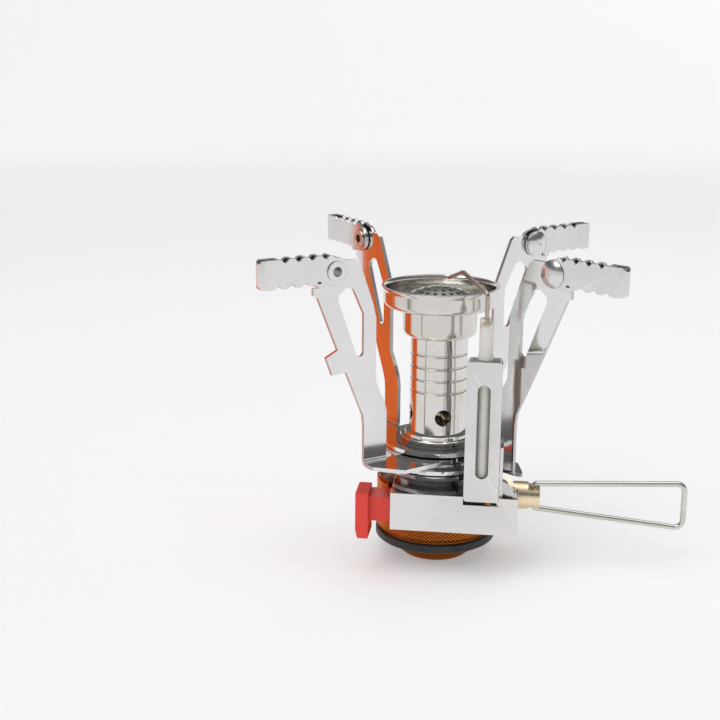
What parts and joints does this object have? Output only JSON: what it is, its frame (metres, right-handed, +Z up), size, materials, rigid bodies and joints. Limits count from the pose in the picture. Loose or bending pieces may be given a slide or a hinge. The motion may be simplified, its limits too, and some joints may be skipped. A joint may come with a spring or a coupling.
{
  "type": "camping stove",
  "caption": "Small folding gas canister stove with serrated pot arms, cup burner, piezo igniter and a wire-handled valve.",
  "frame": {"origin": "on the burner axis at the underside of the base collar, at the mouth of the canister thread", "axes": "+Z up along the burner axis, +X towards the valve handle, -Y towards the igniter box"},
  "size_m": [0.1047, 0.0795, 0.0827],
  "materials": {
    "orange_anodised": "anodised, knurled",
    "rubber": "matte",
    "brass": "machined",
    "steel": "polished",
    "burner_steel": "turned",
    "dark_steel": "oiled",
    "wire": "drawn",
    "ceramic": "glazed",
    "black_plastic": "moulded",
    "red_plastic": "moulded"
  },
  "bodies": {
    "stove": {"valve_body": "orange_anodised", "seat_ring": "rubber", "thread_seal": "rubber", "pin_depressor": "brass", "neck_spigot": "steel", "gas_jet": "brass", "gland_nut": "brass", "base_washer": "dark_steel", "thin_washers": "dark_steel", "arm_spacer": "dark_steel", "igniter_box": "steel", "electrode_shield": "steel", "ceramic_insulator": "ceramic", "electrode": "wire", "ignition_lead": "black_plastic", "piezo_case": "black_plastic", "piezo_crystal": "ceramic", "piezo_spring": "wire", "burner_tube": "burner_steel", "burner_cup": "burner_steel", "flame_screen": "dark_steel", "flame_plate": "burner_steel"},
    "button": {"ignition_button": "red_plastic", "piezo_hammer": "dark_steel"},
    "spindle": {"spindle_seal": "rubber", "valve_spindle": "brass", "spindle_head": "brass"},
    "handle": {"valve_handle": "wire"},
    "front_left_support": {"front_left_arm": "steel", "front_left_rivet": "steel"},
    "front_left_rest": {"front_left_tip": "steel"},
    "front_right_support": {"front_right_arm": "steel", "front_right_rivet": "steel"},
    "front_right_rest": {"front_right_tip": "steel"},
    "back_right_support": {"back_right_arm": "steel", "back_right_rivet": "steel"},
    "back_right_rest": {"back_right_tip": "steel"},
    "back_left_support": {"back_left_arm": "steel", "back_left_rivet": "steel"},
    "back_left_rest": {"back_left_tip": "steel"}
  },
  "joints": [
    {"name": "button_press", "type": "slide", "parent": "stove", "child": "button", "axis": [1, 0, 0], "range_m": [0, 0.0042], "stiffness_N_per_m": 900, "springref_m": -0.002},
    {"name": "spindle_turn", "type": "hinge", "parent": "stove", "child": "spindle", "pos_m": [0.012, 0, 0.0161], "axis": [1, 0, 0], "range_deg": [0, 720]},
    {"name": "handle_fold", "type": "hinge", "parent": "spindle", "child": "handle", "pos_m": [0.0256, 0, 0.0161], "axis": [0, 0, 1], "range_deg": [-90, 90]},
    {"name": "front_left_swing", "type": "hinge", "parent": "stove", "child": "front_left_support", "pos_m": [0, 0, 0.0261], "axis": [0, 0, 1], "range_deg": [-12, 0]},
    {"name": "front_left_fold", "type": "hinge", "parent": "front_left_support", "child": "front_left_rest", "pos_m": [-0.02392, -0.02412, 0.0786], "axis": [-0.6361, 0.7716, 0], "range_deg": [0, 170]},
    {"name": "front_right_swing", "type": "hinge", "parent": "stove", "child": "front_right_support", "pos_m": [0, 0, 0.0261], "axis": [0, 0, 1], "range_deg": [0, 36]},
    {"name": "front_right_fold", "type": "hinge", "parent": "front_right_support", "child": "front_right_rest", "pos_m": [0.02847, -0.01853, 0.0786], "axis": [-0.6266, -0.7793, 0], "range_deg": [0, 170]},
    {"name": "back_right_swing", "type": "hinge", "parent": "stove", "child": "back_right_support", "pos_m": [0, 0, 0.0261], "axis": [0, 0, 1], "range_deg": [-10, 0]},
    {"name": "back_right_fold", "type": "hinge", "parent": "back_right_support", "child": "back_right_rest", "pos_m": [0.02276, 0.02522, 0.0786], "axis": [0.6717, -0.7408, 0], "range_deg": [0, 170]},
    {"name": "back_left_swing", "type": "hinge", "parent": "stove", "child": "back_left_support", "pos_m": [0, 0, 0.0261], "axis": [0, 0, 1], "range_deg": [0, 45]},
    {"name": "back_left_fold", "type": "hinge", "parent": "back_left_support", "child": "back_left_rest", "pos_m": [-0.02271, 0.02527, 0.0786], "axis": [0.807, 0.5906, 0], "range_deg": [0, 170]}
  ]
}
